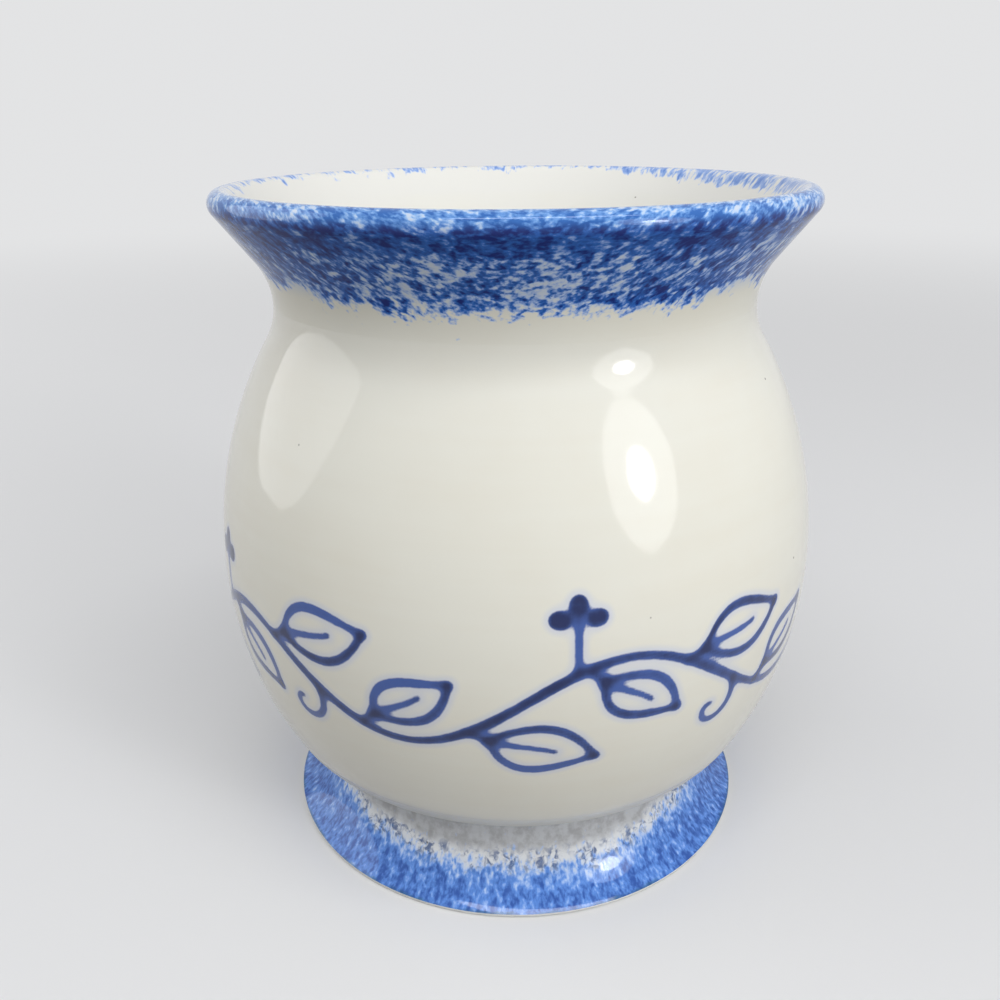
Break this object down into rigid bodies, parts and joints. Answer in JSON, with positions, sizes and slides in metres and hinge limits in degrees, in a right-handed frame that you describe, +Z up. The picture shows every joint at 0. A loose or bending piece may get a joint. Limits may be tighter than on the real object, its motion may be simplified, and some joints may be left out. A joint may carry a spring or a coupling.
{
  "type": "utensil crock",
  "caption": "Round-bellied stoneware crock with a flared foot, a drawn-in neck and a flaring rim, open at the top, for standing kitchen utensils in.",
  "frame": {"origin": "centre of the foot's sole, on the surface that the crock stands on", "axes": "+Z up along the crock's axis of turning; +Y points away from the side that the picture shows, +X to its right"},
  "size_m": [0.128, 0.128, 0.1389],
  "materials": {
    "stoneware": "bare fired clay",
    "white_glaze": "gloss",
    "cream_glaze": "gloss",
    "sponged_rim_glaze": "gloss",
    "sponged_foot_glaze": "gloss"
  },
  "bodies": {
    "root": {"vessel": "stoneware", "rim_collar": "stoneware", "foot_ring": "stoneware", "liner_glaze": "white_glaze", "body_glaze": "cream_glaze", "rim_glaze": "sponged_rim_glaze", "foot_glaze": "sponged_foot_glaze", "base_glaze": "white_glaze"}
  },
  "joints": []
}
